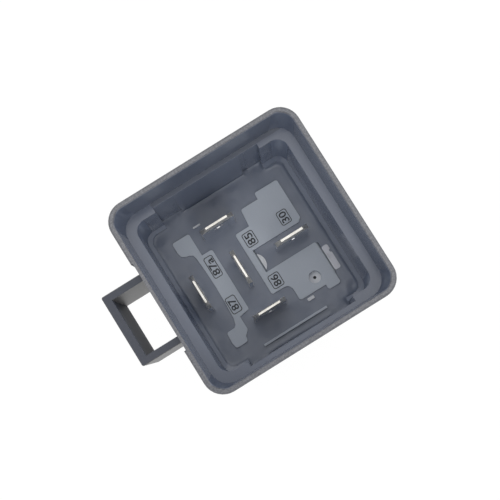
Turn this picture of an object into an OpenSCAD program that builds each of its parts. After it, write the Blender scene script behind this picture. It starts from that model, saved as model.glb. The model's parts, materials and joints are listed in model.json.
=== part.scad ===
// Weatherproof five-terminal automotive relay, changeover type, with a deep
// connector skirt and a moulded bracket sleeve. Millimetres, +Z up.
// The closed cover face lies at z = 0 and the skirt opens upwards. The origin is
// the centre of that face, and terminal 30 lies towards +X.

/* [Terminals] */
// Width of each blade
tab_w = 6.3; // [5.8:0.1:6.6]
// Thickness of each blade
tab_t = 0.8; // [0.7:0.05:0.9]
// Length of each blade above the sealed surface
tab_len = 11.2; // [9.5:0.1:13]
// Width of the lead-in cut at each corner of a blade's tip
tip_cut = 1.05; // [0.6:0.05:1.2]
// Thickness left at the very tip of a blade
tip_t = 0.4; // [0.3:0.05:0.6]
// Diameter of the detent hole in a blade
tab_hole_d = 1.7; // [1.4:0.1:2]
// Distance from a blade's tip to the centre of its detent hole
tab_hole_drop = 4.2; // [3.6:0.1:5]
// Distance between the coil terminals 85 and 86
coil_pitch = 16.8; // [16.6:0.1:17.2]
// Distance between the load terminals 87 and 30
load_pitch = 18; // [17.6:0.1:18.2]
// Distance between the terminals 87 and 87a
nc_pitch = 8; // [7.8:0.1:8.4]
// Distance from terminal 87 to the line through the coil terminals
coil_line = 8.4; // [8.2:0.1:8.8]
// Place of terminal 87 along the X axis
no_x = -10.64; // [-10.8:0.02:-10.4]

/* [Cover] */
// Inside width of the cover
cover_in_w = 26.8; // [26.6:0.1:27.4]
// Wall of the cover beside the mechanism
cover_wall = 1.45; // [1.2:0.05:1.6]
// Thickness of the cover's closed face
cover_floor = 1.3; // [1:0.1:1.6]
// Corner radius inside the cover
cover_in_r = 1.6; // [1.2:0.1:2.6]
// Height of the sealed surface above the closed face
seal_z = 25; // [24.8:0.1:26]
// Thickness of the sealing resin
resin_t = 0.8; // [0.6:0.1:1.2]

/* [Skirt] */
// Height of the rim above the sealed surface
skirt_rise = 26.2; // [22:0.1:30]
// Width across the outside of the rim
rim_w = 34.5; // [34:0.1:36]
// Width of the flat lip round the mouth
rim_lip = 0.95; // [0.7:0.05:1.1]
// Corner radius outside the rim
rim_r = 3.4; // [3:0.1:4]
// Depth of the mouth from the rim down to the shelf
mouth_depth = 9.05; // [7:0.05:11]
// Inward draft of the mouth wall over its depth
mouth_draft = 0.42; // [0.2:0.02:0.6]
// Width of the shelf at the foot of the mouth
shelf_w = 1.64; // [1.4:0.02:1.8]
// Corner radius at the outer edge of the shelf
shelf_r = 3.1; // [2.4:0.1:3.3]
// Corner radius of the well at the inner edge of the shelf
well_r = 2; // [1.6:0.1:2.4]
// Inward draft of the wall between shelf and ledge
well_draft = 0.12; // [0:0.02:0.2]
// Height of the narrow ledge above the sealed surface
ledge_rise = 0.8; // [0.5:0.1:1.2]
// Wall of the skirt beside the well
skirt_wall = 1.98; // [1.8:0.02:2.4]

/* [Keying panels] */
// Lower X end of the panels cut back into the two side walls
panel_x0 = -9.85; // [-10.4:0.05:-9]
// Upper X end of the panels
panel_x1 = 10.05; // [9.4:0.05:10.4]
// Lower X end of the middle part of the panels
panel_mid_x0 = -6; // [-6.6:0.05:-5.4]
// Upper X end of the middle part of the panels
panel_mid_x1 = 6.4; // [5.4:0.05:6.6]
// Depth of the panels in the wall at the shelf
panel_top_cut = 0.86; // [0.6:0.02:1]
// Depth of the middle part of the panels in the wall at its foot
panel_mid_cut = 0.32; // [0.2:0.02:0.5]
// Depth of the end parts of the panels in the wall at their foot
panel_end_cut = 0.76; // [0.5:0.02:0.8]
// Width of the narrow relief groove beside the latch lip
groove_w = 0.4; // [0.3:0.05:0.6]
// Width of the wide relief grooves
wide_groove_w = 0.8; // [0.6:0.05:1]
// Distance from the middle to each relief groove
groove_x = 7.1; // [6.9:0.05:7.4]
// Depth of the relief grooves in the panels
groove_depth = 0.45; // [0.3:0.05:0.5]
// Depth of the wide relief grooves in the resin
groove_sink = 0.25; // [0.15:0.05:0.4]
// Reach of the relief grooves inwards over the resin
groove_run = 2; // [1.4:0.1:2.2]

/* [Bracket sleeve] */
// Reach of the sleeve beyond the rim
sleeve_reach = 6.8; // [6:0.1:8]
// Width of the sleeve
sleeve_w = 12.6; // [11:0.1:14]
// Place of the sleeve's middle along the Y axis
sleeve_y = -0.15; // [-0.5:0.05:0.5]
// Height of the sleeve
sleeve_h = 19; // [14:0.1:21]
// Drop of the sleeve's upper edge below the rim
sleeve_drop = 1.7; // [1:0.1:3]
// Side walls of the sleeve
sleeve_wall = 1.2; // [1:0.05:1.5]
// Outer bar of the sleeve
sleeve_bar = 1.3; // [1.2:0.05:1.8]
// Taper of the sleeve's side faces over its height
sleeve_taper = 0.5; // [0:0.05:0.6]
// Taper of the outer bar's outer face over its height
bar_taper = 0.9; // [0.4:0.05:1]
// Taper of the outer bar's inner face over its height
bar_lean = 0.25; // [0:0.05:0.3]
// Depth by which the rim is cut back beside the sleeve
rim_cutback = 0.33; // [0.2:0.01:0.4]
// Length of the cut-back stretch beyond each side of the sleeve
cutback_run = 1.6; // [0.8:0.05:2]

/* [Base plate] */
// Thickness of the base plate under the resin
base_t = 2.2; // [1.8:0.1:2.6]
// Clearance between the base plate and the cover
base_gap = 0.2; // [0.1:0.05:0.3]
// Height of the raised lands above the resin
land_rise = 0.4; // [0.3:0.05:0.6]
// Bare strip between a blade's face and the nearest land
land_gap = 2.1; // [1.9:0.05:2.2]
// Corner radius of the lands
land_r = 0.4; // [0.25:0.05:0.45]
// Half width of the channel round blade 30
channel_half = 2.22; // [2:0.02:2.5]
// Radius of the vent's recess
vent_r = 1.1; // [0.8:0.01:1.2]
// Depth of the vent's recess below the land
vent_depth = 1.5; // [0.8:0.1:2]
// Diameter of the vent's closed hole
vent_hole_d = 0.55; // [0.4:0.05:0.6]
// Thickness of the latch lip
lip_t = 0.4; // [0.3:0.05:0.5]
// Height of the latch lip above the resin
lip_rise = 0.9; // [0.6:0.1:1.2]

/* [Magnet] */
// Thickness of the yoke and its tab
yoke_t = 1.2; // [1:0.05:1.3]
// Width of the yoke's upright leg
yoke_w = 16.8; // [16.6:0.1:17]
// Width of the yoke's leg under the base plate
yoke_leg_w = 13; // [11:0.1:14]
// Space between the yoke's back and the cover's wall
yoke_gap = 1.05; // [1:0.05:1.2]
// Diameter of the core inside the bobbin
core_d = 7; // [6:0.1:7.4]
// Diameter of the pole face
pole_d = 9.5; // [8.6:0.1:10]
// Thickness of the pole face
pole_t = 1; // [0.8:0.1:1.2]
// Diameter of the riveted neck of the core
neck_d = 5.2; // [4.6:0.1:5.6]
// Wall of the bobbin's tube
bobbin_wall = 0.8; // [0.6:0.05:1]
// Thickness of each bobbin flange
flange_t = 0.9; // [0.7:0.1:1.1]
// Width of each bobbin flange
flange_w = 15.4; // [15:0.1:15.6]
// Outer diameter of the winding
winding_d = 14.4; // [12:0.1:14.8]
// Diameter of the winding's lead wires
lead_d = 0.5; // [0.4:0.05:0.6]

/* [Armature and contacts] */
// Thickness of the armature
armature_t = 1.3; // [1.1:0.05:1.4]
// Width of the armature
armature_w = 13; // [11:0.1:14]
// Thickness of the leaf spring
leaf_t = 0.25; // [0.2:0.01:0.3]
// Width of the leaf spring
leaf_w = 5.4; // [5:0.1:5.6]
// Angle through which the armature is pulled in
open_angle = 2.5; // [2.2:0.1:2.8]
// Gap that is left between closed surfaces
air_gap = 0.05; // [0.04:0.01:0.08]
// Diameter of the contact heads
contact_d = 3.2; // [2.8:0.1:3.4]
// Thickness of the contact heads
contact_t = 0.5; // [0.4:0.05:0.6]
// Diameter of the contact shanks
shank_d = 1.6; // [1.4:0.1:1.8]
// Diameter of the rivets that hold the spring
rivet_d = 1.5; // [1.2:0.1:1.7]
// Thickness of the rivet heads
rivet_head_t = 0.4; // [0.3:0.05:0.45]

/* [Hidden] */
$fn = 48;
arc_steps = 8;
eps = 0.01;
over = 1;

// Terminal places
x_87 = no_x;
x_87a = x_87 + nc_pitch;
x_30 = x_87 + load_pitch;
x_coil = x_87 + coil_line;
y_coil = coil_pitch / 2;

// Levels from the closed face up to the rim
floor_z = cover_floor;
resin_z = seal_z - resin_t;
base_z = resin_z - base_t;
land_z = seal_z + land_rise;
tip_z = seal_z + tab_len;
ledge_z = seal_z + ledge_rise;
rim_z = seal_z + skirt_rise;
shelf_z = rim_z - mouth_depth;
sleeve_z1 = rim_z - sleeve_drop;
sleeve_z0 = sleeve_z1 - sleeve_h;

// Half widths
in_h = cover_in_w / 2;
base_h = in_h - base_gap;
cover_h = in_h + cover_wall;
rim_h = rim_w / 2;
mouth_h = rim_h - rim_lip;
shelf_out_h = mouth_h - mouth_draft;
shelf_in_h = shelf_out_h - shelf_w;
ledge_h = shelf_in_h - well_draft;
skirt_h = ledge_h + skirt_wall;
panel_top_y = shelf_in_h + panel_top_cut;
panel_mid_y = ledge_h + panel_mid_cut;
panel_end_y = ledge_h + panel_end_cut;

// Coil and yoke places. The strips of the terminals lie between base and yoke.
strip_z1 = base_z;
strip_z0 = strip_z1 - tab_t;
yoke_z1 = strip_z0;
yoke_z0 = yoke_z1 - yoke_t;
yoke_x1 = in_h - yoke_gap;
yoke_x0 = yoke_x1 - yoke_t;
coil_gap = 0.5;
coil_x = yoke_x0 - coil_gap - flange_w / 2;

// Strips of the terminals
arm_half = 2.3;
post_w = 2;
post_drop = 1.4;
foot_reach = 1.6;
foot_w = 4.6;
side_w = 2.9;
riser_out = 1.96;

// Contact stack, built upwards from the cover's floor
floor_gap = 0.3;
arm_z0 = floor_z + floor_gap;
arm_z1 = arm_z0 + tab_t;
nc_face_z = arm_z1 + contact_t;
strip_gap = 0.35;
contact_x = x_87 + tab_t / 2 + strip_gap + contact_d / 2;

// Hinge line on the yoke's outer edge, and the leaf's height when pulled in.
// The moving contact's lower face meets the lower fixed contact at rest.
hinge_x = yoke_x1;
lower_face_drop = armature_t + air_gap + leaf_t + contact_t;
reach = hinge_x - contact_x;
rest_drop = reach * sin(open_angle) + lower_face_drop * cos(open_angle);
rest_gap = contact_d / 2 * sin(open_angle) + 0.02;
hinge_z = nc_face_z + rest_drop + rest_gap;
pole_z0 = hinge_z;
armature_z1 = hinge_z - air_gap;
armature_z0 = armature_z1 - armature_t;
leaf_z0 = armature_z0 - leaf_t;
no_face_z = armature_z0 + contact_t + air_gap;
no_arm_z0 = no_face_z + contact_t;
no_arm_z1 = no_arm_z0 + tab_t;
bobbin_z0 = pole_z0 + pole_t;
bobbin_z1 = yoke_z0;
post_z = bobbin_z1 - flange_t - post_drop;
winding_z0 = bobbin_z0 + flange_t;
winding_z1 = bobbin_z1 - flange_t;
core_gap = 0.05;
tube_d = core_d + 2 * core_gap + 2 * bobbin_wall;
flange_r = 1.2;
neck_rise = 0.5;
neck_head = 1;

// Leaf spring bend round the armature's heel
bend_r = 1.1;
bend_z = hinge_z - (armature_t + air_gap - bend_r + bend_r * sin(open_angle)) / cos(open_angle);
bend_x = hinge_x - bend_r;
heel_gap = 0.3;
leaf_foot = 8.5;
leaf_end = 0.9;
armature_past = 2.6;
leg_past = 1.8;
rivet_y = leaf_w / 2 - rivet_d / 2 - 0.45;
rivet_head = 0.8;
yoke_rivet_head = 1.2;
yoke_rivet_rise = 3.2;
yoke_rivet_pitch = 3.2;
yoke_rivet_z = [for (i = [0, 1]) hinge_z + yoke_rivet_rise + i * yoke_rivet_pitch];

// Yoke tab that shows in the base plate
tab_y0 = -8.3;
tab_y1 = -3.6;
tab_r = 0.35;
tab_relief = 0.4;
tab_waist = 0.3;
tab_waist_y = tab_y1 - 1.3;
slot_y0 = tab_y0 - 0.2;
slot_y1 = tab_y1 + 1;

// Raised lands of the base plate, with the channel round blade 30
fillet_r = 0.3;
bite_r = 1.25;
land_near = 0.28;
land_past = 0.35;
left_near = 0.1;
mid_near = 0.22;
step_past = 1.55;
low_past = 0.74;
land_x0 = x_87a + tab_t / 2 + land_gap - land_near;
land_x1 = x_30 + tab_w / 2 + land_past;
left_x0 = x_87 + tab_t / 2 + land_gap + left_near;
left_x1 = x_87a - tab_t / 2 - land_gap;
land_mid_y = y_coil - tab_t / 2 - land_gap + mid_near;
land_low_y = 9.58;
land_high_y = 9.35;
land_corner_y = 10.58;
step_x = x_coil + tab_w / 2 + step_past;
low_x0 = step_x + low_past;
top_foot_w = 4.6;
low_foot_w = 2.45;
left_foot_out = 2.56;
left_foot_in = 2.04;
left_bow = 0.25;
channel_wall = 1.16;
channel_x0 = land_x0 + channel_wall;
channel_y0 = -channel_half - 0.07;
channel_y1 = channel_half - 0.07;
channel_cut = 0.65;
crescent_slot = 0.28;
crescent_w = 1.04;
crescent_r = 2.1;
crescent_y = [-2.05, 1.4];
pip_r = 0.14;
low_pip = [1.85, 1.3, 0.55, 0.37];
high_pip = [3.8, 1.45, 0.3, 0.27];
vent_x = land_x1 - 3.36;
vent_y = -7.45;
lip_x0 = -6.2;
lip_x1 = 6.5;
lip_y = 0.7 - in_h;

// ---------- shape helpers ----------

// One level of a rounded rectangle, as points at height z
function ring(z, hx, hy, r, cx = 0, cy = 0) = [
    for (q = [0:3], i = [0:arc_steps])
        let (a = 90 * q + 90 * i / arc_steps,
             sx = (q == 0 || q == 3) ? 1 : -1,
             sy = q < 2 ? 1 : -1)
        [cx + sx * (hx - r) + r * cos(a), cy + sy * (hy - r) + r * sin(a), z]
];

function level(z, h, r) = ring(z, h, h, r);

// Solid skin through a list of levels, lowest first
module loft(levels) {
    n = len(levels[0]);
    m = len(levels);
    points = [for (l = levels) for (p = l) p];
    bottom = [[for (i = [0:n - 1]) i]];
    top = [[for (i = [n - 1:-1:0]) (m - 1) * n + i]];
    sides = [
        for (k = [0:m - 2], i = [0:n - 1], half = [0, 1])
            let (a = k * n + i, b = k * n + (i + 1) % n)
            half == 0 ? [a, a + n, b] : [b, a + n, b + n]
    ];
    polyhedron(points = points, faces = concat(bottom, top, sides));
}

module box(x, y, z) {
    translate([x[0], y[0], z[0]]) cube([x[1] - x[0], y[1] - y[0], z[1] - z[0]]);
}

// Flat outline of the cover's inside, grown or shrunk by d
module inner_outline(d = 0) {
    polygon([for (p = level(0, in_h + d, cover_in_r + d)) [p[0], p[1]]]);
}

module rect(x, y) {
    translate([x[0], y[0]]) square([x[1] - x[0], y[1] - y[0]]);
}

// Softens the corners of an outline, outer ones by r and inner ones by f
module rounded(r = land_r, f = 0) {
    offset(r = r, $fn = 24) offset(delta = -r - f) offset(r = f, $fn = 24) children();
}

module rod(d, z0, z1) {
    translate([0, 0, z0]) cylinder(d = d, h = z1 - z0);
}

// Moves a piece that is drawn pulled in to its place at rest
module at_rest() {
    translate([hinge_x, 0, hinge_z]) rotate([0, -open_angle, 0])
        translate([-hinge_x, 0, -hinge_z]) children();
}

// ---------- case ----------

module cover_and_skirt() {
    shoulder_z = resin_z - 1.2;
    cover_r = cover_in_r + cover_wall;
    loft([
        level(0, cover_h - 0.7, cover_r - 0.7),
        level(0.2, cover_h - 0.35, cover_r - 0.35),
        level(0.7, cover_h - 0.1, cover_r - 0.1),
        level(shoulder_z, cover_h, cover_r),
        level(shoulder_z + 1.1, skirt_h - 0.15, rim_r - 0.6),
        level(shelf_z - 1.2, skirt_h, rim_r - 0.4),
        level(shelf_z + 0.4, rim_h - 0.15, rim_r),
        level(rim_z - 0.35, rim_h, rim_r),
        level(rim_z - 0.1, rim_h - 0.1, rim_r - 0.1),
        level(rim_z, rim_h - 0.28, rim_r - 0.28)
    ]);
}

module cavity() {
    mouth_r = rim_r - rim_lip;
    loft([
        level(floor_z, in_h, cover_in_r),
        level(ledge_z, in_h, cover_in_r),
        level(ledge_z + eps, ledge_h, well_r - 2 * well_draft),
        level(shelf_z, shelf_in_h, well_r),
        level(shelf_z + eps, shelf_out_h, shelf_r),
        level(rim_z - 0.3, mouth_h - 0.02, mouth_r),
        level(rim_z - 0.08, mouth_h + 0.06, mouth_r),
        level(rim_z + eps, mouth_h + 0.2, mouth_r + 0.1),
        level(rim_z + over, mouth_h + 0.2, mouth_r + 0.1)
    ]);
}

// Part of a side wall's panel, from the resin's underside to the shelf
module panel_part(x, foot_y) {
    inner_y = in_h - over;
    translate([x[0], 0, 0]) rotate([90, 0, 90])
        linear_extrude(x[1] - x[0]) polygon([
            [inner_y, resin_z],
            [foot_y, resin_z],
            [panel_top_y, shelf_z],
            [panel_top_y, shelf_z + over],
            [inner_y, shelf_z + over]
        ]);
}

// Cut-back panel in one side wall, deeper at the foot of its two ends
module panel_cut() {
    panel_part([panel_x0, panel_x1], panel_mid_y);
    panel_part([panel_x0, panel_mid_x0], panel_end_y);
    panel_part([panel_mid_x1, panel_x1], panel_end_y);
}

// Relief groove down the end part of a panel, centred on x
module panel_groove(x, w, foot_z) {
    translate([x - w / 2, 0, 0]) rotate([90, 0, 90]) linear_extrude(w) polygon([
        [in_h, foot_z],
        [panel_end_y + groove_depth, foot_z],
        [panel_top_y + groove_depth / 2, shelf_z],
        [in_h, shelf_z]
    ]);
}

module sleeve() {
    x0 = -rim_h - sleeve_reach;
    x1 = -skirt_h + 0.3;
    mid = (x0 + x1) / 2;
    half_x = (x1 - x0) / 2;
    half_y = sleeve_w / 2;
    inner_x = x0 + sleeve_bar;
    r = 0.3;
    translate([0, sleeve_y, 0]) difference() {
        loft([
            ring(sleeve_z0, half_x - bar_taper / 2, half_y - sleeve_taper, r,
                 mid + bar_taper / 2),
            ring(sleeve_z1 - 0.15, half_x, half_y, r, mid),
            ring(sleeve_z1, half_x - 0.05, half_y - 0.1, r - 0.1, mid + 0.05)
        ]);
        rotate([90, 0, 0])
            linear_extrude(sleeve_w - 2 * sleeve_wall, center = true) polygon([
                [inner_x, sleeve_z1 + over], [inner_x, sleeve_z1],
                [inner_x + bar_lean, sleeve_z0], [inner_x + bar_lean, sleeve_z0 - over],
                [0, sleeve_z0 - over], [0, sleeve_z1 + over]
            ]);
    }
}

module case() {
    color([0.16, 0.17, 0.19]) {
        difference() {
            union() {
                difference() {
                    cover_and_skirt();
                    box([-rim_h - over, rim_cutback - rim_h],
                        [-sleeve_w / 2 - cutback_run, sleeve_w / 2 + cutback_run],
                        [shelf_z - 2, rim_z + over]);
                }
                sleeve();
            }
            cavity();
            panel_cut();
            mirror([0, 1, 0]) panel_cut();
            panel_groove(groove_x, wide_groove_w, seal_z - groove_sink);
            mirror([0, 1, 0]) {
                panel_groove(groove_x, wide_groove_w, seal_z - groove_sink);
                panel_groove(-groove_x - 0.3, groove_w, seal_z);
            }
        }
    }
}

// ---------- base and resin ----------

// Land beside terminal 30, with its channel left open
module right_land() {
    rounded(f = fillet_r) difference() {
        union() {
            rect([land_x0, low_x0 + over], [-land_mid_y, land_mid_y]);
            polygon([
                [step_x, 0], [land_x1, 0], [land_x1, land_high_y],
                [step_x + 0.3, land_high_y], [step_x, land_mid_y]
            ]);
            rect([land_x1 - top_foot_w, land_x1], [0, land_corner_y]);
            rect([low_x0, land_x1], [-land_low_y, 0]);
            rect([land_x1 - low_foot_w, land_x1], [-land_corner_y, 0]);
            difference() {
                rect([low_x0 - bite_r, low_x0 + over], [-land_mid_y - bite_r, 0]);
                translate([low_x0 - bite_r, -land_mid_y - bite_r]) circle(r = bite_r);
            }
        }
        rect([channel_x0, land_x1 + over], [channel_y0, channel_y1]);
        polygon([
            [land_x1 - channel_cut, channel_y1 - eps], [land_x1 + over, channel_y1 - eps],
            [land_x1 + over, channel_y1 + channel_cut + over]
        ]);
    }
}

// Land between the terminals 87 and 87a, bowed on one side, with a foot at each end
module left_land() {
    x0 = left_x0 - left_foot_out;
    x1 = left_x1 - left_foot_in;
    y = land_mid_y;
    top = land_corner_y;
    rounded(f = fillet_r) polygon(concat(
        [
            [left_x1, -y], [left_x1, y], [x1, y], [x1, top], [x0, top], [x0, y + 2.4],
            [x0 + 0.25, y + 1.65], [x0 + 0.8, y + 1.3], [x0 + 1.6, y + 1.1], [x0 + 2.1, y + 0.8]
        ],
        [for (i = [1:-0.5:-1]) [left_x0 - left_bow * i * i, y * i]],
        [
            [x0 + 2, -y - 1.1], [x0 + 1.6, -y - 1.45], [x0, -y - 1.5], [x0 - 0.15, -y - 3.5],
            [x0 + 0.1, -top - 0.2], [x1 - 1.1, -top - 0.2], [x1 - 0.85, -y - 3.7],
            [x1, -y - 2.85], [x1, -y - 0.3]
        ]
    ));
}

// Crescent at the inner end of the channel
module crescent() {
    intersection() {
        translate([channel_x0 + crescent_w - crescent_r, -0.3]) circle(r = crescent_r);
        rect([channel_x0 + crescent_slot, channel_x0 + crescent_w], crescent_y);
    }
}

module small_pips() {
    low_x = step_x + low_pip[0];
    low_y = -land_low_y - low_pip[3];
    high_x = x_coil - high_pip[0];
    high_y = land_corner_y + high_pip[3];
    rounded(pip_r) {
        rect([low_x, low_x + low_pip[1]], [low_y - low_pip[2], low_y]);
        rect([high_x, high_x + high_pip[1]], [high_y, high_y + high_pip[2]]);
    }
}

module latch_lip() {
    rect([lip_x0, lip_x1], [lip_y - lip_t, lip_y]);
}

// Everything of the base plate that stands up through the resin
module lands() {
    right_land();
    left_land();
    crescent();
    small_pips();
    latch_lip();
}

// Open slots of the resin, beside the yoke's tab and behind the crescent
module slots() {
    rect([land_x1 - eps, yoke_x0], [slot_y0, slot_y1]);
    rect([channel_x0, channel_x0 + crescent_slot + eps], [channel_y0, channel_y1]);
}

// Sections of the five blades
module blade_section_x(x, y) {
    rect([x - tab_w / 2, x + tab_w / 2], [y - tab_t / 2, y + tab_t / 2]);
}

module blade_section_y(x, y) {
    rect([x - tab_t / 2, x + tab_t / 2], [y - tab_w / 2, y + tab_w / 2]);
}

module blade_sections() {
    blade_section_x(x_30, 0);
    blade_section_x(x_coil, y_coil);
    blade_section_x(x_coil, -y_coil);
    blade_section_y(x_87, 0);
    blade_section_y(x_87a, 0);
}

// Section of the yoke's tab, waisted on its outer side
module yoke_tab_section() {
    difference() {
        rounded(tab_r) rect([yoke_x0, yoke_x1], [tab_y0, tab_y1]);
        translate([yoke_x1, tab_waist_y]) circle(r = tab_waist);
    }
}

module base_plate() {
    color([0.42, 0.44, 0.46]) {
        difference() {
            union() {
                translate([0, 0, base_z]) linear_extrude(base_t) inner_outline(-base_gap);
                translate([0, 0, resin_z]) linear_extrude(land_z - resin_z) {
                    right_land();
                    left_land();
                    crescent();
                    small_pips();
                }
                translate([0, 0, resin_z]) linear_extrude(resin_t + lip_rise) latch_lip();
            }
            translate([0, 0, base_z - over]) linear_extrude(land_z) {
                blade_sections();
                yoke_tab_section();
            }
            translate([vent_x, vent_y, 0]) {
                rod(2 * vent_r, land_z - vent_depth, land_z + over);
                rod(vent_hole_d, land_z - vent_depth - vent_hole_d, land_z);
            }
        }
    }
}

module sealing_resin() {
    run_y = panel_end_y - groove_run;
    color([0.24, 0.26, 0.3]) {
        difference() {
            translate([0, 0, resin_z]) linear_extrude(resin_t) difference() {
                union() {
                    inner_outline();
                    rect([panel_x0, panel_x1], [-panel_mid_y, panel_mid_y]);
                    rect([panel_x0, panel_mid_x0], [-panel_end_y, panel_end_y]);
                    rect([panel_mid_x1, panel_x1], [-panel_end_y, panel_end_y]);
                }
                lands();
                slots();
                blade_sections();
                yoke_tab_section();
            }
            for (side = [-1, 1])
                translate([groove_x - wide_groove_w / 2, side > 0 ? run_y : -panel_end_y - over,
                           seal_z - groove_sink])
                    cube([wide_groove_w, groove_run + over, 1]);
        }
    }
}

// ---------- terminals ----------

// Blade that stands on the XY plane at the origin, with its width along X
module blade(foot_z) {
    half = tab_w / 2;
    slope = 1.6;
    difference() {
        intersection() {
            translate([0, tab_t / 2, 0]) rotate([90, 0, 0]) linear_extrude(tab_t) polygon([
                [-half, foot_z], [half, foot_z], [half, tip_z - slope],
                [half - tip_cut, tip_z], [tip_cut - half, tip_z], [-half, tip_z - slope]
            ]);
            translate([-half, 0, 0]) rotate([90, 0, 90]) linear_extrude(tab_w) polygon([
                [-tab_t / 2, foot_z], [tab_t / 2, foot_z], [tab_t / 2, tip_z - slope],
                [tip_t / 2, tip_z], [-tip_t / 2, tip_z], [-tab_t / 2, tip_z - slope]
            ]);
        }
        translate([0, tab_t, tip_z - tab_hole_drop]) rotate([90, 0, 0])
            cylinder(d = tab_hole_d, h = 2 * tab_t);
    }
}

module tinned() {
    color([0.86, 0.84, 0.78]) children();
}

// Blade 30, with a foot welded flat on the yoke
module terminal_30() {
    foot_x0 = coil_x + neck_d / 2 + foot_reach;
    tinned() {
        translate([x_30, 0, 0]) blade(base_z - eps);
        box([foot_x0, x_30 + tab_w / 2], [-tab_t / 2, foot_w], [strip_z0, strip_z1]);
    }
}

// Coil terminal, with a post below its blade
module coil_terminal(side) {
    tinned() translate([x_coil, side * y_coil, 0]) {
        blade(base_z - eps);
        box([-post_w / 2, post_w / 2], [-tab_t / 2, tab_t / 2], [post_z, base_z + eps]);
    }
}

module terminal_85() {
    coil_terminal(1);
}

module terminal_86() {
    coil_terminal(-1);
}

// Blade 87, carrying the fixed contact that the pulled-in armature meets
module terminal_87() {
    arm_x1 = contact_x + contact_d / 2;
    tinned() difference() {
        union() {
            translate([x_87, 0, 0]) rotate([0, 0, 90]) blade(base_z - eps);
            box([x_87 - tab_t / 2, x_87 + tab_t / 2], [-arm_half, arm_half],
                [no_arm_z0, base_z + eps]);
            box([x_87 - tab_t / 2, arm_x1], [-arm_half, arm_half], [no_arm_z0, no_arm_z1]);
        }
        translate([contact_x, 0, 0]) rod(shank_d, no_arm_z0 - over, no_arm_z1 + over);
    }
}

// Blade 87a, whose strip runs under the base, down beside strip 87 and back
module terminal_87a() {
    side_y0 = tab_w / 2 + strip_gap;
    side_y1 = side_y0 + side_w;
    riser_x0 = x_87 - riser_out;
    riser_x1 = riser_x0 + tab_t;
    inner_x = x_87 + tab_t / 2 + strip_gap;
    arm_x1 = contact_x + contact_d / 2;
    tinned() difference() {
        union() {
            translate([x_87a, 0, 0]) rotate([0, 0, 90]) blade(base_z - eps);
            box([inner_x, x_87a + tab_t / 2], [-tab_w / 2, side_y1], [strip_z0, strip_z1]);
            box([riser_x0, inner_x + eps], [side_y0, side_y1], [strip_z0, strip_z1]);
            box([riser_x0, riser_x1], [side_y0, side_y1], [arm_z0, strip_z1]);
            box([riser_x0, arm_x1], [side_y0, side_y1], [arm_z0, arm_z1]);
            box([arm_x1 - 2 * contact_d / 2 - 0.4, arm_x1], [-arm_half, side_y1], [arm_z0, arm_z1]);
        }
        translate([contact_x, 0, 0]) rod(shank_d, arm_z0 - over, arm_z1 + over);
    }
}

// ---------- contacts ----------

module silver() {
    color([0.78, 0.78, 0.76]) children();
}

module no_contact() {
    silver() translate([contact_x, 0, 0]) {
        rod(contact_d, no_face_z, no_arm_z0);
        rod(shank_d, no_face_z, no_arm_z1);
    }
}

module nc_contact() {
    silver() translate([contact_x, 0, 0]) {
        rod(contact_d, arm_z1, nc_face_z);
        rod(shank_d, arm_z0, nc_face_z);
    }
}

module moving_contact() {
    silver() at_rest() translate([contact_x, 0, 0]) {
        rod(contact_d, leaf_z0 - contact_t, leaf_z0);
        rod(contact_d, armature_z0, armature_z0 + contact_t);
        rod(shank_d, leaf_z0 - contact_t, armature_z0 + contact_t);
    }
}

// ---------- spring and armature ----------

// A point of the side view, moved from pulled in to its place at rest
function rest_point(x, z) = [
    hinge_x + (x - hinge_x) * cos(open_angle) - (z - hinge_z) * sin(open_angle),
    hinge_z + (x - hinge_x) * sin(open_angle) + (z - hinge_z) * cos(open_angle)
];

// Arc of the spring's bend, from the upright foot round to the leaf
function bend_arc(r) = [
    for (i = [0:arc_steps])
        let (a = (open_angle - 90) * i / arc_steps)
        [bend_x + r * cos(a), bend_z + r * sin(a)]
];

function reversed(list) = [for (i = [len(list) - 1:-1:0]) list[i]];

// One leaf: foot on the yoke's back, bend round the heel, tongue to the contact
module contact_spring() {
    leaf_x0 = contact_x - contact_d / 2 - leaf_end;
    foot_z = hinge_z + leaf_foot;
    color([0.78, 0.56, 0.3]) difference() {
        rotate([90, 0, 0]) linear_extrude(leaf_w, center = true) polygon(concat(
            [[hinge_x + leaf_t, foot_z]],
            bend_arc(bend_r + leaf_t),
            [rest_point(leaf_x0, leaf_z0), rest_point(leaf_x0, armature_z0)],
            reversed(bend_arc(bend_r)),
            [[hinge_x, foot_z]]
        ));
        at_rest() {
            translate([contact_x, 0, 0]) rod(shank_d, leaf_z0 - over, armature_z0 + over);
            for (side = [-1, 1])
                translate([coil_x, side * rivet_y, 0])
                    rod(rivet_d, leaf_z0 - over, armature_z0 + over);
        }
        for (z = yoke_rivet_z)
            translate([hinge_x - over, 0, z]) rotate([0, 90, 0])
                cylinder(d = rivet_d, h = 3 * over);
    }
}

module armature() {
    armature_x0 = coil_x - pole_d / 2 - armature_past;
    notch = leaf_w / 2 + heel_gap;
    color([0.5, 0.5, 0.52]) at_rest() difference() {
        box([armature_x0, hinge_x], [-armature_w / 2, armature_w / 2],
            [armature_z0, armature_z1]);
        box([bend_x - heel_gap, hinge_x + over], [-notch, notch],
            [armature_z0 - over, armature_z1 + over]);
        for (side = [-1, 1])
            translate([coil_x, side * rivet_y, 0])
                rod(rivet_d, armature_z0 - over, armature_z1 + over);
    }
}

module armature_rivets() {
    color([0.7, 0.68, 0.62]) at_rest() for (side = [-1, 1])
        translate([coil_x, side * rivet_y, 0]) {
            rod(rivet_d, leaf_z0 - rivet_head_t, armature_z1);
            rod(rivet_d + rivet_head, leaf_z0 - rivet_head_t, leaf_z0);
        }
}

// ---------- magnet ----------

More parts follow.
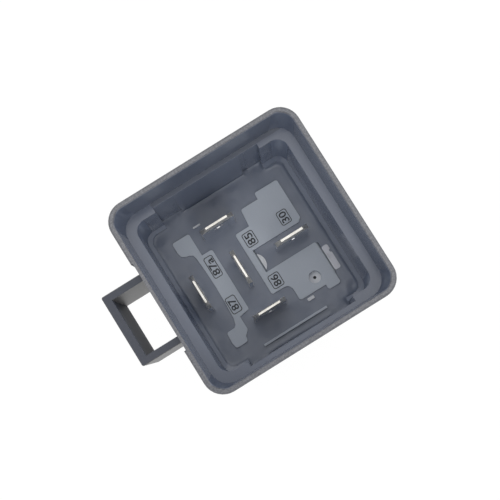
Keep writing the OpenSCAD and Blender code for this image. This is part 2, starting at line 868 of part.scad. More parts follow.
module yoke() {
    leg_x0 = coil_x - neck_d / 2 - leg_past;
    half = yoke_w / 2;
    leg_half = yoke_leg_w / 2;
    color([0.48, 0.48, 0.5]) difference() {
        union() {
            box([yoke_x0, yoke_x1], [-half, half], [pole_z0, yoke_z0 + eps]);
            box([leg_x0, yoke_x1], [-leg_half, leg_half], [yoke_z0, yoke_z1]);
            translate([0, 0, yoke_z0]) linear_extrude(seal_z + 0.1 - yoke_z0)
                yoke_tab_section();
        }
        box([yoke_x0 - tab_relief, yoke_x0], [-half - over, tab_y1 + tab_relief],
            [yoke_z0 - eps, yoke_z1 + over]);
        box([yoke_x0 - over, yoke_x1 + over], [tab_y1, tab_y1 + tab_relief],
            [yoke_z0, yoke_z1 + over]);
        translate([coil_x, 0, 0]) rod(neck_d, yoke_z0 - over, yoke_z1 + over);
        for (z = yoke_rivet_z)
            translate([yoke_x0 - over, 0, z]) rotate([0, 90, 0])
                cylinder(d = rivet_d, h = yoke_t + 2 * over);
    }
}

module yoke_rivets() {
    color([0.7, 0.68, 0.62]) for (z = yoke_rivet_z)
        translate([0, 0, z]) rotate([0, 90, 0]) {
            rod(rivet_d, yoke_x0, yoke_x1 + leaf_t + rivet_head_t);
            rod(rivet_d + yoke_rivet_head, yoke_x1 + leaf_t,
                yoke_x1 + leaf_t + rivet_head_t);
        }
}

module core() {
    color([0.56, 0.56, 0.58]) translate([coil_x, 0, 0]) {
        rod(pole_d, pole_z0, bobbin_z0);
        rod(core_d, pole_z0, bobbin_z1);
        rod(neck_d, pole_z0, yoke_z1);
        rod(neck_d + neck_head, yoke_z1, yoke_z1 + neck_rise);
    }
}

module bobbin() {
    corner = flange_r;
    half = flange_w / 2;
    color([0.86, 0.84, 0.78]) translate([coil_x, 0, 0]) difference() {
        union() {
            rod(tube_d, bobbin_z0, bobbin_z1);
            for (z = [bobbin_z0, bobbin_z1 - flange_t]) translate([0, 0, z]) {
                box([corner - half, half - corner], [-half, half], [0, flange_t]);
                box([-half, half], [corner - half, half - corner], [0, flange_t]);
                for (sx = [-1, 1], sy = [-1, 1])
                    translate([sx * (half - corner), sy * (half - corner), 0])
                        cylinder(r = corner, h = flange_t);
            }
        }
        rod(core_d + 2 * core_gap, bobbin_z0 - over, bobbin_z1 + over);
    }
}

module coil_winding() {
    color([0.72, 0.4, 0.2]) translate([coil_x, 0, 0]) difference() {
        rod(winding_d, winding_z0, winding_z1);
        rod(tube_d, winding_z0 - over, winding_z1 + over);
    }
}

// Lead wire from the winding to a coil terminal, wrapped round its post
module coil_lead(side) {
    wrap_z = winding_z1 - 1;
    wrap_h = 0.8;
    wire_z = wrap_z + wrap_h / 2;
    start_y = winding_d / 2 * 0.8;
    end_y = y_coil - tab_t / 2 - lead_d;
    color([0.76, 0.45, 0.24]) difference() {
        union() {
            translate([x_coil, side * y_coil, wrap_z]) linear_extrude(wrap_h)
                rect([-post_w / 2 - lead_d, post_w / 2 + lead_d],
                     [-tab_t / 2 - lead_d, tab_t / 2 + lead_d]);
            translate([x_coil + post_w / 2 - lead_d, side * (end_y + lead_d / 2), wire_z])
                rotate([side * 90, 0, 0]) cylinder(d = lead_d, h = end_y - start_y + lead_d);
        }
        translate([x_coil, side * y_coil, wrap_z - over]) linear_extrude(wrap_h + 2 * over)
            rect([-post_w / 2, post_w / 2], [-tab_t / 2, tab_t / 2]);
        translate([coil_x, 0, 0]) rod(winding_d, winding_z0, winding_z1);
    }
}

module coil_lead_85() {
    coil_lead(1);
}

module coil_lead_86() {
    coil_lead(-1);
}

case();
base_plate();
sealing_resin();
terminal_30();
terminal_85();
terminal_86();
terminal_87();
terminal_87a();
no_contact();
nc_contact();
moving_contact();
contact_spring();
armature();
armature_rivets();
yoke();
yoke_rivets();
core();
bobbin();
coil_winding();
coil_lead_85();
coil_lead_86();
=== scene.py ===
"""Dresses a weatherproof five-terminal relay and sets it on a pale studio floor.

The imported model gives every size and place. Lengths are metres, and a name that
ends in _mm holds millimetres. Z points up into the open connector skirt.
"""

import json
import logging
import math
from collections.abc import Iterable
from dataclasses import dataclass
from enum import Enum

import bmesh
import bpy
from mathutils import Matrix, Vector, noise
from mathutils.bvhtree import BVHTree

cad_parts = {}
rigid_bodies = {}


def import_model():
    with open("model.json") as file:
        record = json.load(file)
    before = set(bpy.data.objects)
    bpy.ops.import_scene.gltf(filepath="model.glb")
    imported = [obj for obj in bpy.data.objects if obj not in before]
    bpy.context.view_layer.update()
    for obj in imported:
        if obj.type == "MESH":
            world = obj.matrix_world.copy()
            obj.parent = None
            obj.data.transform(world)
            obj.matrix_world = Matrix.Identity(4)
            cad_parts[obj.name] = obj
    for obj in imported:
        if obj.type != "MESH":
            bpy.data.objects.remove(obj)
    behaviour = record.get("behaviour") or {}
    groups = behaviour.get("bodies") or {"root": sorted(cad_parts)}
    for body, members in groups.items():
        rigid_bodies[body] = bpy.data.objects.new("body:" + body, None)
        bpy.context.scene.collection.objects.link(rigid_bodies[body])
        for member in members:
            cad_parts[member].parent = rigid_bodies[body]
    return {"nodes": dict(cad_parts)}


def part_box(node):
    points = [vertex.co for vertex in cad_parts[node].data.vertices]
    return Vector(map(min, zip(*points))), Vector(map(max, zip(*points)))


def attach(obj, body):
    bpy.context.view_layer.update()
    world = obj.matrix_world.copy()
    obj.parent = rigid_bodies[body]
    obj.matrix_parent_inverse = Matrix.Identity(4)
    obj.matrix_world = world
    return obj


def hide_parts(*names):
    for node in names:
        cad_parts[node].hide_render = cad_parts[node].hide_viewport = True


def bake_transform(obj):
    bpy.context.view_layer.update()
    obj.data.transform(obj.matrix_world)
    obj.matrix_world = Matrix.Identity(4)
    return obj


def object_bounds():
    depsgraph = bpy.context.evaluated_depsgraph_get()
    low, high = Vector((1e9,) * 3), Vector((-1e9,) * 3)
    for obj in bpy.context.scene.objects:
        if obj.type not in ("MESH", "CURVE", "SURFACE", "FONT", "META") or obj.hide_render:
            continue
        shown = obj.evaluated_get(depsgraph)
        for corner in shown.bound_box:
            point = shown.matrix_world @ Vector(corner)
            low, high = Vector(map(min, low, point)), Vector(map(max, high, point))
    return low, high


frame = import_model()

MM = 0.001
CAD_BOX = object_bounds()
WHITE = (1.0, 1.0, 1.0, 1.0)
TIP_MM = 1.65  # length of a blade's stamped tip
LAND_RISE_MM = 0.4  # a land's height above the resin
RIM_BAND_MM = 7.0  # the foot of the rim's outer band is farther than this below the rim
TERMINALS = ("terminal_30", "terminal_85", "terminal_86", "terminal_87", "terminal_87a")

log = logging.getLogger("relay")

Colour = tuple[float, float, float]
Span = tuple[float, float]


class Body(Enum):
    """The rigid bodies that pieces ride on."""

    HOUSING = "housing"
    ARMATURE = "armature_unit"


class Axis(Enum):
    """An axis of the row frame, by its index in a vector."""

    X = 0
    Y = 1
    Z = 2


@dataclass(frozen=True)
class Levels:
    """Heights of the case and its terminals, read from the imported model."""

    rim_mm: float
    foot_mm: float
    seal_mm: float
    land_mm: float
    blade_mm: float

    @staticmethod
    def read() -> "Levels":
        """Returns the levels of this relay."""
        rim, seal, blade = (
            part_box(node)[1].z / MM for node in ("case", "sealing_resin", "terminal_30")
        )
        heights = {round(v.co.z / MM, 2) for v in frame["nodes"]["case"].data.vertices}
        foot = max(z for z in heights if z < rim - RIM_BAND_MM)
        return Levels(rim, foot, seal, seal + LAND_RISE_MM, blade)


LEVELS = Levels.read()


# ---- shader maths


@dataclass
class Value:
    """A number that changes over a surface. Its operators add Math nodes."""

    graph: "Graph"
    socket: bpy.types.NodeSocket

    def _math(self, operation: str, *terms: "Value | float") -> "Value":
        """Returns the result of a new Math node with these terms, in order."""
        node = self.graph.node("ShaderNodeMath", dict(enumerate(terms)), {"operation": operation})
        return Value(self.graph, node.outputs[0])

    def __add__(self, other: "Value | float") -> "Value":
        """Returns self + other."""
        return self._math("ADD", self, other)

    def __sub__(self, other: "Value | float") -> "Value":
        """Returns self - other."""
        return self._math("SUBTRACT", self, other)

    def __rsub__(self, other: float) -> "Value":
        """Returns other - self."""
        return self._math("SUBTRACT", other, self)

    def __mul__(self, other: "Value | float") -> "Value":
        """Returns self * other."""
        return self._math("MULTIPLY", self, other)

    def larger(self, other: "Value | float") -> "Value":
        """Returns the larger of self and other."""
        return self._math("MAXIMUM", self, other)

    def size(self) -> "Value":
        """Returns self without its sign."""
        return self._math("ABSOLUTE", self)

    def mask(self, low: float, high: float) -> "Value":
        """Fades smoothly from 0 to 1.

        Args:
            low: The value where the mask is 0.
            high: The value where the mask is 1, which may be the lower of the two.

        Returns:
            The mask, from 0 to 1.
        """
        node = self.graph.node(
            "ShaderNodeMapRange",
            {"Value": self, "From Min": low, "From Max": high},
            {"interpolation_type": "SMOOTHSTEP"},
        )
        return Value(self.graph, node.outputs["Result"])


class NodeMaker:
    """Adds nodes to one tree."""

    def __init__(self, tree: bpy.types.NodeTree) -> None:
        """Keeps the tree that the nodes go into."""
        self.tree = tree

    def node(
        self, kind: str, inputs: dict | None = None, settings: dict[str, object] | None = None
    ) -> bpy.types.Node:
        """Adds a node of any kind.

        Args:
            kind: The node's type.
            inputs: Values or links of its sockets, by name or number.
            settings: Attributes to set before the sockets.

        Returns:
            The new node.
        """
        node = self.tree.nodes.new(kind)
        for name, value in (settings or {}).items():
            setattr(node, name, value)
        for key, value in (inputs or {}).items():
            source = value.socket if isinstance(value, Value) else value
            if isinstance(source, bpy.types.NodeSocket):
                self.tree.links.new(source, node.inputs[key])
            else:
                node.inputs[key].default_value = source
        return node


class Graph(NodeMaker):
    """The nodes of one material or world, with coordinates in millimetres."""

    def __init__(self, owner: str | bpy.types.World) -> None:
        """Starts an empty graph.

        Args:
            owner: The name of a new material, or a world whose nodes are cleared.
        """
        if isinstance(owner, str):
            owner = bpy.data.materials.new(owner)
            owner.use_nodes = True
        super().__init__(owner.node_tree)
        self.tree.nodes.clear()
        self.material = owner
        self._place: bpy.types.NodeSocket | None = None

    def seen(self) -> Value:
        """Returns 1 for a ray from the camera or by way of gloss or glass, and 0 for light."""
        path = self.node("ShaderNodeLightPath")
        camera, gloss, glass = (
            Value(self, path.outputs[f"Is {kind} Ray"])
            for kind in ("Camera", "Glossy", "Transmission")
        )
        return camera.larger(gloss).larger(glass)

    def place(self) -> bpy.types.NodeSocket:
        """Returns the surface's place in the row frame, in millimetres."""
        if self._place is None:
            coordinate = self.node("ShaderNodeTexCoord")
            scaled = self.node(
                "ShaderNodeVectorMath",
                {0: coordinate.outputs["Object"], "Scale": 1 / MM},
                {"operation": "SCALE"},
            )
            self._place = scaled.outputs[0]
        return self._place

    def along(self, axis: Axis) -> Value:
        """Returns the place along one axis, in millimetres."""
        split = self.node("ShaderNodeSeparateXYZ", {0: self.place()})
        return Value(self, split.outputs[axis.value])

    def grain(
        self,
        per_mm: float,
        detail: float = 2.0,
        rough: float = 0.5,
        stretch: tuple[float, float, float] | None = None,
    ) -> Value:
        """Adds noise.

        Args:
            per_mm: How many blotches lie on a millimetre.
            detail: How many finer layers are added.
            rough: How strong the finer layers are.
            stretch: A factor for each axis, for streaks.

        Returns:
            The noise, from 0 to 1 about 0.5.
        """
        where = self.place()
        if stretch:
            streaks = self.node(
                "ShaderNodeVectorMath", {0: where, 1: stretch}, {"operation": "MULTIPLY"}
            )
            where = streaks.outputs[0]
        node = self.node(
            "ShaderNodeTexNoise",
            {"Vector": where, "Scale": per_mm, "Detail": detail, "Roughness": rough},
        )
        return Value(self, node.outputs[0])

    def blend(
        self,
        factor: Value,
        low: Colour | bpy.types.NodeSocket,
        high: Colour | bpy.types.NodeSocket,
    ) -> bpy.types.NodeSocket:
        """Mixes two colours.

        Args:
            factor: 0 for the low colour, 1 for the high one.
            low: A colour or a link.
            high: A colour or a link.

        Returns:
            The mixed colour.
        """
        ends = {
            key: colour if isinstance(colour, bpy.types.NodeSocket) else (*colour, 1.0)
            for key, colour in ((6, low), (7, high))
        }
        node = self.node("ShaderNodeMix", {0: factor, **ends}, {"data_type": "RGBA"})
        return node.outputs[2]

    def bump(self, height_mm: Value) -> bpy.types.NodeSocket:
        """Returns the normal of a surface with a height in millimetres over it."""
        node = self.node("ShaderNodeBump", {"Height": height_mm * MM, "Distance": 1.0})
        return node.outputs[0]

    def surface(self, inputs: dict[str, object]) -> bpy.types.Material:
        """Ends the graph in a Principled surface.

        Args:
            inputs: Values or links of the surface's sockets.

        Returns:
            The finished material.
        """
        shader = self.node("ShaderNodeBsdfPrincipled", inputs)
        self.node("ShaderNodeOutputMaterial", {"Surface": shader.outputs[0]})
        return self.material


# ---- finishes


@dataclass(frozen=True)
class Skirt:
    """Where the inside of the case's skirt is painted paler as painted fill light, where a strip
    of shelf gets painted shade, and where the case is handled.

    The inside is a square with round corners. Levels count up from the rim band's foot.
    """

    # inner and well are painted fill light: paler tones inside the skirt, the well's paler still,
    # that stand in for light reaching its walls.
    inner: Colour
    well: Colour
    worn_mm: Span
    worn_soft_mm: float = 0.05
    straight_mm: float = 12.8
    well_reach_mm: float = 2.85
    mouth_more_mm: float = 1.1
    mouth_fade_mm: Span = (-0.95, -0.55)
    well_fade_mm: Span = (-0.45, -0.65)
    wall_mm: Span = (3.62, 3.55)
    floor_mm: Span = (-18.55, -18.45)
    corner_mm2: float = 0.2
    # The strip_ values mark a shelf strip that is painted darker as painted shade.
    strip_x_mm: Span = (-10.1, -9.7)
    strip_y_mm: Span = (15.14, 15.2)
    strip_mm: Span = (-0.65, -0.15)
    strip_soft_mm: float = 0.1
    strip_dark: float = 0.4

    def _band(self, graph: Graph, ends_mm: Span, soft_mm: float) -> Value:
        """Finds a band of heights.

        Args:
            graph: The material's graph.
            ends_mm: Its lower and upper end.
            soft_mm: How softly it ends.

        Returns:
            1 in the band and 0 elsewhere.
        """
        height = graph.along(Axis.Z) - LEVELS.foot_mm
        low, high = ends_mm
        return height.mask(low, low + soft_mm) * height.mask(high, high - soft_mm)

    def inside(self, graph: Graph) -> Value:
        """Tells the inside of the skirt from the rest.

        Args:
            graph: The material's graph.

        Returns:
            1 inside the skirt and 0 elsewhere.
        """
        height = graph.along(Axis.Z) - LEVELS.foot_mm
        along_x, along_y = (
            (graph.along(axis).size() - self.straight_mm).larger(0.0) for axis in (Axis.X, Axis.Y)
        )
        reach = height.mask(*self.mouth_fade_mm) * self.mouth_more_mm + self.well_reach_mm
        away = along_x * along_x + along_y * along_y - reach * reach
        walls = along_x.larger(along_y).mask(*self.wall_mm)
        return (1.0 - away.mask(0.0, self.corner_mm2)) * walls * height.mask(*self.floor_mm)

    def strip(self, graph: Graph) -> Value:
        """Finds the narrow strip of shelf above the flush panel, which is painted darker as
        painted shade.

        Args:
            graph: The material's graph.

        Returns:
            1 on the strip and 0 elsewhere.
        """
        across = graph.along(Axis.X).mask(*self.strip_x_mm)
        along = graph.along(Axis.Y).mask(*self.strip_y_mm)
        return self._band(graph, self.strip_mm, self.strip_soft_mm) * along * across

    def worn(self, graph: Graph) -> Value:
        """Returns 1 on the rubbed foot of the mouth's walls and 0 elsewhere."""
        return self._band(graph, self.worn_mm, self.worn_soft_mm) * self.inside(graph)

    def tone(self, graph: Graph, outside: Colour) -> bpy.types.NodeSocket:
        """Returns the plastic's colour outside the skirt, and inside it the paler painted fill
        light, paler still down the well, with painted shade on the shelf strip.

        Args:
            graph: The material's graph.
            outside: The colour of the outside.
        """
        # Painted fill light inside the skirt, stronger down the well, less on the painted-shade
        # strip.
        deep = (graph.along(Axis.Z) - LEVELS.foot_mm).mask(*self.well_fade_mm)
        share = self.inside(graph) * (1.0 - self.strip(graph) * self.strip_dark)
        return graph.blend(share, outside, graph.blend(deep, self.inner, self.well))


@dataclass(frozen=True)
class MouldedPlastic:
    """Filled plastic with an eroded mould texture, rubbed paler where it is handled."""

    name: str
    colour: Colour
    pale: Colour
    roughness: float = 0.5
    grain_mm: float = 0.006
    mottle: float = 0.25
    gloss: float = 0.5
    rubbed: float = 0.5
    rubbed_from_mm: float | None = None
    skirt: Skirt | None = None

    def _handled(self, graph: Graph, speck: Value) -> Value:
        """Adds up where the surface is paler than its base colour.

        Args:
            graph: The material's graph.
            speck: Fine noise that breaks up the paler tone.

        Returns:
            The share of the pale colour.
        """
        share = (graph.grain(0.35, 4.0, 0.6) - 0.5) * self.mottle + (speck - 0.5) * self.mottle
        if self.rubbed_from_mm is not None:
            edge = graph.along(Axis.Z).mask(self.rubbed_from_mm, self.rubbed_from_mm + 0.5)
            share = share + edge * (speck * 0.5 + 0.75) * self.rubbed
        if self.skirt is not None:
            patches = graph.grain(0.8, 5.0, 0.7).mask(0.3, 0.75)
            worn = (patches * 0.55 + speck * 0.3) * self.rubbed
            share = share + self.skirt.worn(graph) * worn
            # The shelf strip keeps its painted shade, so it gets no pale patches.
            share = share * (1.0 - self.skirt.strip(graph))
        return share.larger(0.0)

    def material(self) -> bpy.types.Material:
        """Returns the finish as a material."""
        graph = Graph(self.name)
        fine = graph.grain(9.0, 3.0, 0.6)
        speck = graph.grain(3.2, 4.0, 0.75).mask(0.36, 0.7)
        scuff = graph.grain(0.9, 3.0, 0.6, (1.0, 0.12, 0.5)).mask(0.62, 0.75)
        share = self._handled(graph, speck) + scuff * 0.05
        waves = graph.grain(0.25, 1.0) * 0.006
        base = self.skirt.tone(graph, self.colour) if self.skirt else self.colour
        return graph.surface({
            "Base Color": graph.blend(share, base, self.pale),
            "Roughness": (fine - 0.5) * 0.12 + self.roughness - scuff * 0.05,
            "Normal": graph.bump(fine * self.grain_mm + speck * (self.grain_mm * 1.6) + waves),
            "Specular IOR Level": self.gloss,
        })


@dataclass(frozen=True)
class CastResin:
    """Epoxy that was poured and has set, satin, with a few dull patches and specks."""

    name: str
    colour: Colour
    pale: Colour
    roughness: float = 0.3

    def material(self) -> bpy.types.Material:
        """Returns the finish as a material."""
        graph = Graph(self.name)
        cloud = graph.grain(0.22, 4.0, 0.6)
        dust = graph.grain(4.5, 2.0, 0.7).mask(0.7, 0.78)
        dull = graph.grain(0.5, 3.0, 0.6).mask(0.42, 0.66)
        share = (cloud - 0.42).larger(0.0) * 0.5 + dust * 0.15
        ripple = graph.grain(0.5, 2.0) * 0.03 + graph.grain(5.0, 3.0, 0.6) * 0.003
        return graph.surface({
            "Base Color": graph.blend(share, self.colour, self.pale),
            "Roughness": dull * 0.1 + self.roughness + dust * 0.2,
            "Normal": graph.bump(ripple),
        })


@dataclass(frozen=True)
class Metal:
    """Plated or rolled metal with fine drawing marks and slight tarnish."""

    name: str
    colour: Colour
    tarnish: Colour
    roughness: float
    lines: tuple[float, float, float] = (1.0, 1.0, 0.06)
    line_mm: float = 0.001
    tarnished: float = 0.3

    def material(self) -> bpy.types.Material:
        """Returns the finish as a material."""
        graph = Graph(self.name)
        marks = graph.grain(14.0, 2.0, 0.6, self.lines)
        stain = graph.grain(0.9, 4.0, 0.65).mask(0.4, 0.75)
        return graph.surface({
            "Base Color": graph.blend(stain * self.tarnished, self.colour, self.tarnish),
            "Metallic": 1.0,
            "Roughness": (marks - 0.5) * 0.14 + self.roughness + stain * 0.1,
            "Normal": graph.bump(marks * self.line_mm),
        })


@dataclass(frozen=True)
class Enamel:
    """Lacquered copper wire, with a tone that shifts a little from turn to turn."""

    name: str
    colour: Colour
    dark: Colour
    roughness: float = 0.28

    def material(self) -> bpy.types.Material:
        """Returns the finish as a material."""
        graph = Graph(self.name)
        turns = graph.grain(2.2, 1.0, 0.5, (0.1, 0.1, 1.0))
        return graph.surface({
            "Base Color": graph.blend(turns.mask(0.3, 0.7), self.colour, self.dark),
            "Metallic": 0.6,
            "Roughness": (turns - 0.5) * 0.1 + self.roughness,
            "Normal": graph.bump(graph.grain(6.0, 2.0) * 0.002),
        })


class Finishes:
    """Every material of the relay, made once and looked up by its name."""

    MADE: tuple[MouldedPlastic | CastResin | Metal | Enamel, ...] = (
        # The case's skirt tones are painted fill light inside the skirt and down its well.
        MouldedPlastic(
            "case_plastic", (0.05, 0.053, 0.064), (0.27, 0.275, 0.3), 0.17, 0.0003, 0.18,
            rubbed=0.4, rubbed_from_mm=LEVELS.rim_mm - 0.55,
            skirt=Skirt((0.125, 0.148, 0.205), (0.17, 0.203, 0.28), (-0.12, 0.1)),
        ),
        # Paler rounded edges: partly wear, partly a painted highlight. This finish also paints the
        # rim's step lighter against its shade, and its skirt tone is painted fill light.
        MouldedPlastic(
            "case_edge_wear_and_painted_light", (0.115, 0.118, 0.132), (0.34, 0.335, 0.345), 0.4, 0.003, 0.4,
            rubbed=0.8, skirt=Skirt((0.15, 0.165, 0.205), (0.15, 0.165, 0.205), (-0.3, 0.1)),
        ),
        MouldedPlastic(
            "sleeve_wall", (0.055, 0.055, 0.058), (0.12, 0.118, 0.12), 0.42, 0.001, 0.2
        ),
        # The sleeve bar's inner face is painted paler and bluer than the case as painted fill
        # light, since it faces the case and lies in shade.
        MouldedPlastic(
            "sleeve_bar", (0.1, 0.115, 0.165), (0.14, 0.15, 0.2), 0.5, 0.001, 0.2, 0.25
        ),
        MouldedPlastic(
            "sleeve_top", (0.06, 0.066, 0.084), (0.15, 0.16, 0.19), 0.35, 0.001, 0.25, 0.27
        ),
        MouldedPlastic(
            "base_plastic", (0.53, 0.575, 0.64), (0.64, 0.67, 0.72), 0.52, 0.004, 0.35
        ),
        # Land edges are painted darker as painted shade.
        MouldedPlastic("base_edge_painted_shade", (0.36, 0.39, 0.43), (0.5, 0.52, 0.54), 0.5, 0.003, 0.4),
        MouldedPlastic(
            "base_pale_marks", (0.78, 0.79, 0.82), (0.85, 0.86, 0.88), 0.45, 0.003, 0.3
        ),
        CastResin("sealing_resin", (0.165, 0.192, 0.255), (0.24, 0.26, 0.3)),
        # number_shade is painted shade, for the moulded numbers and the vent's hole.
        MouldedPlastic(
            "number_shade", (0.035, 0.038, 0.045), (0.07, 0.073, 0.08), 0.6, 0.001, 0.3
        ),
        Metal(
            "tin_plate", (0.88, 0.9, 0.93), (0.74, 0.74, 0.74), 0.1, (1.0, 1.0, 0.05), 0.0001, 0.2
        ),
        Metal("tin_plate_cuts", (0.86, 0.84, 0.79), (0.66, 0.62, 0.54), 0.55, (1.0, 1.0, 0.2)),
        Metal("dulled_iron", (0.55, 0.56, 0.6), (0.45, 0.46, 0.48), 0.6),
        Metal("contact_silver", (0.83, 0.82, 0.8), (0.5, 0.47, 0.43), 0.34),
        Metal("spring_bronze", (0.78, 0.5, 0.29), (0.5, 0.3, 0.18), 0.3, (0.05, 1.0, 1.0)),
        Metal("plated_iron", (0.56, 0.57, 0.59), (0.42, 0.41, 0.39), 0.38),
        Metal("rivet_metal", (0.64, 0.62, 0.58), (0.45, 0.42, 0.38), 0.36),
        MouldedPlastic("bobbin_plastic", (0.7, 0.67, 0.58), (0.82, 0.8, 0.73), 0.4, 0.003, 0.3),
        Enamel("enamelled_wire", (0.62, 0.27, 0.1), (0.34, 0.12, 0.045)),
    )

    def __init__(self) -> None:
        """Builds the materials."""
        self._materials = {finish.name: finish.material() for finish in self.MADE}

    def get(self, *names: str) -> tuple[bpy.types.Material, ...]:
        """Returns materials by their names, in the order of a piece's slots."""
        return tuple(self._materials[name] for name in names)


# ---- mesh tools


class Mesher:
    """Mesh steps that several sub-assemblies share."""

    FLAT = math.radians(0.6)
    SHARP = math.radians(40)
    WIDE = 1.2 * MM
    DOUBLE = 0.0005 * MM
    EDGE_SLOT = 1

    @staticmethod
    def merged(node: str) -> bmesh.types.BMesh:
        """Copies a node's mesh with its doubles merged and its flat seams dissolved.

        Args:
            node: The node's name.

        Returns:
            The editable copy.
        """
        mesh = bmesh.new()
        mesh.from_mesh(frame["nodes"][node].data)
        bmesh.ops.remove_doubles(mesh, verts=mesh.verts, dist=Mesher.DOUBLE)
        bmesh.ops.dissolve_limit(
            mesh, angle_limit=Mesher.FLAT, verts=mesh.verts, edges=mesh.edges, delimit={"NORMAL"}
        )
        return mesh

    @staticmethod
    def soften(mesh: bmesh.types.BMesh, radius_mm: float) -> None:
        """Rounds each sharp edge and gives the new faces the edges' slot.

        Args:
            mesh: The mesh to change.
            radius_mm: Width of the rounding.
        """
        sharp = [e for e in mesh.edges if e.is_manifold and e.calc_face_angle() > Mesher.SHARP]
        bmesh.ops.bevel(
            mesh, geom=sharp, offset=radius_mm * MM, offset_type="OFFSET", segments=2,
            profile=0.5, affect="EDGES", clamp_overlap=True, material=Mesher.EDGE_SLOT,
            miter_outer="ARC",
        )

    @staticmethod
    def shade(mesh: bmesh.types.BMesh) -> None:
        """Smooths the shading of curves and roundings, and keeps flats flat.

        Args:
            mesh: The mesh to change.
        """
        for face in mesh.faces:
            wide = face.calc_area() / max(e.calc_length() for e in face.edges) > Mesher.WIDE
            curved = any(
                e.is_manifold
                and Mesher.FLAT < e.calc_face_angle() < Mesher.SHARP
                and all(other.material_index != Mesher.EDGE_SLOT for other in e.link_faces)
                for e in face.edges
            )
            face.smooth = face.material_index == Mesher.EDGE_SLOT or (curved and not wide)
        for edge in mesh.edges:
            edge.smooth = not edge.is_manifold or edge.calc_face_angle() < Mesher.SHARP

    @staticmethod
    def piece(
        name: str, mesh: bmesh.types.BMesh, materials: Iterable[bpy.types.Material]
    ) -> bpy.types.Object:
        """Turns an editable mesh into an object at the origin.

        Args:
            name: The object's name.
            mesh: The mesh, which is freed.
            materials: Its material slots.

        Returns:
            The new object.
        """
        data = bpy.data.meshes.new(name)
        mesh.to_mesh(data)
        mesh.free()
        for material in materials:
            data.materials.append(material)
        piece = bpy.data.objects.new(name, data)
        bpy.context.scene.collection.objects.link(piece)
        return piece

    @staticmethod
    def applied(piece: bpy.types.Object) -> None:
        """Replaces an object's mesh with its evaluated one and drops the modifiers.

        Args:
            piece: The object to change.
        """
        graph = bpy.context.evaluated_depsgraph_get()
        data = bpy.data.meshes.new_from_object(piece.evaluated_get(graph))
        piece.modifiers.clear()
        piece.data = data

    @staticmethod
    def settle(piece: bpy.types.Object, body: Body, slot: str, nodes: Iterable[str] = ()) -> None:
        """Puts a finished piece on its body.

        Args:
            piece: The finished piece.
            body: The body that it rides on.
            slot: Not used.
            nodes: The nodes that it stands for.
        """
        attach(piece, body.value)
        if nodes:
            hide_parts(*nodes)
        log.info("%s: %d faces on %s", piece.name, len(piece.data.polygons), body.value)


class NodeTree(NodeMaker):
    """A Geometry Nodes tree with named inputs that makes wire, built in code."""

    def __init__(self, name: str, inputs: dict[str, float | int]) -> None:
        """Starts a tree.

        Args:
            name: The tree's name.
            inputs: Named sizes with their values.
        """
        super().__init__(bpy.data.node_groups.new(name, "GeometryNodeTree"))
        self.values = inputs
        self.ids: dict[str, str] = {}
        for key, value in inputs.items():
            kind = "NodeSocketInt" if isinstance(value, int) else "NodeSocketFloat"
            socket = self.tree.interface.new_socket(key, in_out="INPUT", socket_type=kind)
            self.ids[key] = socket.identifier
        self.tree.interface.new_socket("Mesh", in_out="OUTPUT", socket_type="NodeSocketGeometry")
        self.given = self.node("NodeGroupInput")

    def size(self, key: str) -> bpy.types.NodeSocket:
        """Returns the input with this name."""
        return self.given.outputs[key]

    def tube(self, curve: bpy.types.NodeSocket, caps: bool) -> bpy.types.NodeSocket:
        """Sweeps a round wire along a curve. The tree has inputs for its sides and radius.

        Args:
            curve: The wire's middle.
            caps: Whether its ends are closed.

        Returns:
            The wire's mesh.
        """
        section = self.node("GeometryNodeCurvePrimitiveCircle", {
            "Resolution": self.size("Sides"), "Radius": self.size("Wire"),
        })
        tube = self.node("GeometryNodeCurveToMesh", {
            "Curve": curve, "Profile Curve": section.outputs[0], "Fill Caps": caps,
        })
        return tube.outputs[0]

    def made(
        self, name: str, mesh: bpy.types.NodeSocket, material: bpy.types.Material, place: Vector
    ) -> None:
        """Ends the tree, runs it and makes a plain, smooth piece of wire.

        Args:
            name: The new piece's name.
            mesh: The geometry that ends the tree.
            material: The piece's material.
            place: Where the tree's origin goes.
        """
        realized = self.node("GeometryNodeRealizeInstances", {0: mesh})
        coloured = self.node("GeometryNodeSetMaterial", {
            "Geometry": realized.outputs[0], "Material": material,
        })
        self.node("NodeGroupOutput", {0: coloured.outputs[0]})
        piece = bpy.data.objects.new(name, bpy.data.meshes.new(name))
        bpy.context.scene.collection.objects.link(piece)
        modifier = piece.modifiers.new("made", "NODES")
        modifier.node_group = self.tree
        for key, value in self.values.items():
            modifier[self.ids[key]] = value
        Mesher.applied(piece)
        piece.data.transform(Matrix.Translation(place))
        piece.data.shade_smooth()
        Mesher.settle(piece, Body.HOUSING, "enamelled_wire")


# ---- visible parts


@dataclass
class DressedNode:
    """A rigid piece whose CAD shape is right, with its edges rounded."""

    node: str
    slot: str
    body: Body = Body.HOUSING
    edge_mm: float = 0.08

    def _reshape(self, mesh: bmesh.types.BMesh) -> None:
        """Changes the copy before its edges are rounded. Most pieces stay as they are."""

    def _material_slot(self, part: bmesh.types.BMFace) -> int:
        """Returns a face's material slot: 0, or 1 on a rounded edge."""
        return part.material_index

    def _settle(self, piece: bpy.types.Object) -> None:
        """Puts the finished piece on its body."""
        Mesher.settle(piece, self.body, self.slot, (self.node,))

    def build(self, *materials: bpy.types.Material) -> None:
        """Makes the piece.

        Args:
            *materials: Its materials by slot. The last one also covers the slots past it.
        """
        mesh = Mesher.merged(self.node)
        self._reshape(mesh)
        Mesher.soften(mesh, self.edge_mm)
        Mesher.shade(mesh)
        used = tuple(dict.fromkeys(materials))
        for part in mesh.faces:
            slot = min(self._material_slot(part), len(materials) - 1)
            part.material_index = used.index(materials[slot])
        self._settle(Mesher.piece(f"dressed_{self.node}", mesh, used))


